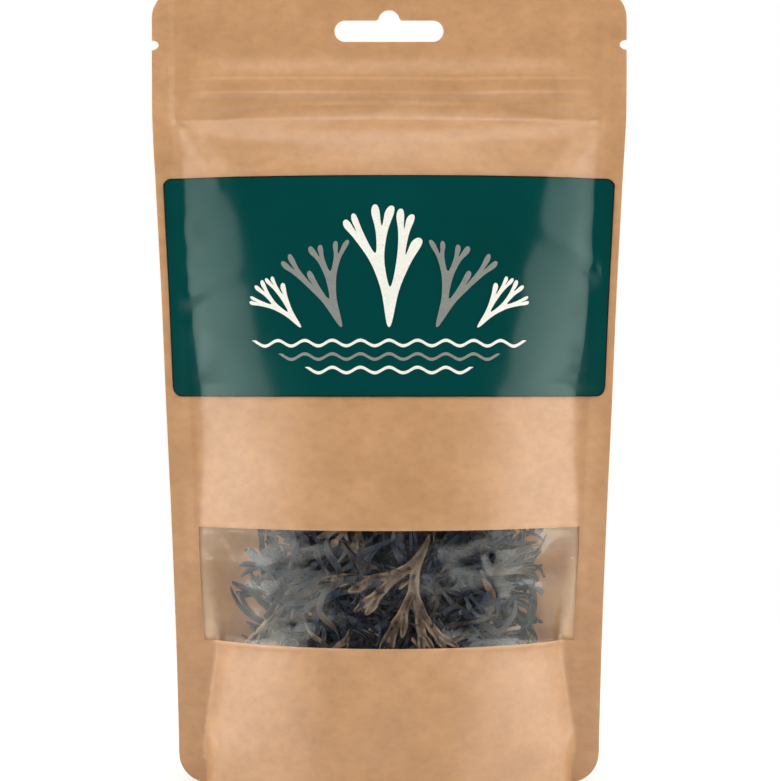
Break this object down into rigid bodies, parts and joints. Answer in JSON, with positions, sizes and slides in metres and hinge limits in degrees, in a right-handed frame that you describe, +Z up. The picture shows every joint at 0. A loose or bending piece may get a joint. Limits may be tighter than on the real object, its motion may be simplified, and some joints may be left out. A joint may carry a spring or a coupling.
{
  "type": "stand-up pouch of dried irish moss seaweed",
  "caption": "Kraft stand-up pouch with a clear window, press-to-close zip and hang slot, filled with forked fronds of dried irish moss seaweed.",
  "frame": {"origin": "on the surface that the pouch stands on, under the middle of the pouch", "axes": "+Z up towards the hang slot, -Y out of the window and label, X across the width"},
  "size_m": [0.13, 0.0506, 0.217],
  "materials": {
    "kraft_paper": "satin brown kraft laminate",
    "clear_film": "clear glossy film",
    "label_vinyl": "glossy dark green label",
    "zip_plastic": "milky clear plastic",
    "seaweed_dark": "dried, dark navy and black",
    "seaweed_brown": "dried, purple brown",
    "seaweed_tan": "dried, bleached tan"
  },
  "bodies": {
    "root": {"back_panel": "kraft_paper", "bottom_gusset": "kraft_paper", "frond_01": "seaweed_tan", "frond_02": "seaweed_dark", "frond_03": "seaweed_brown", "frond_04": "seaweed_dark", "frond_05": "seaweed_dark", "frond_06": "seaweed_tan", "frond_07": "seaweed_dark", "frond_08": "seaweed_brown", "frond_09": "seaweed_dark", "frond_10": "seaweed_dark", "frond_11": "seaweed_tan", "frond_12": "seaweed_dark", "frond_13": "seaweed_brown", "frond_14": "seaweed_dark", "frond_15": "seaweed_dark", "frond_16": "seaweed_tan", "frond_17": "seaweed_dark", "frond_18": "seaweed_brown", "frond_19": "seaweed_dark", "frond_20": "seaweed_dark", "frond_21": "seaweed_tan", "frond_22": "seaweed_dark", "frond_23": "seaweed_brown", "frond_24": "seaweed_dark", "frond_25": "seaweed_dark", "frond_26": "seaweed_tan", "frond_27": "seaweed_dark", "frond_28": "seaweed_brown", "frond_29": "seaweed_dark", "frond_30": "seaweed_dark", "frond_31": "seaweed_tan", "frond_32": "seaweed_dark", "frond_33": "seaweed_brown", "frond_34": "seaweed_dark", "frond_35": "seaweed_dark", "frond_36": "seaweed_tan", "frond_37": "seaweed_dark", "front_label": "label_vinyl", "front_panel": "kraft_paper", "window_film": "clear_film", "zip_groove_strip": "zip_plastic", "zip_rib_strip": "zip_plastic"}
  },
  "joints": []
}
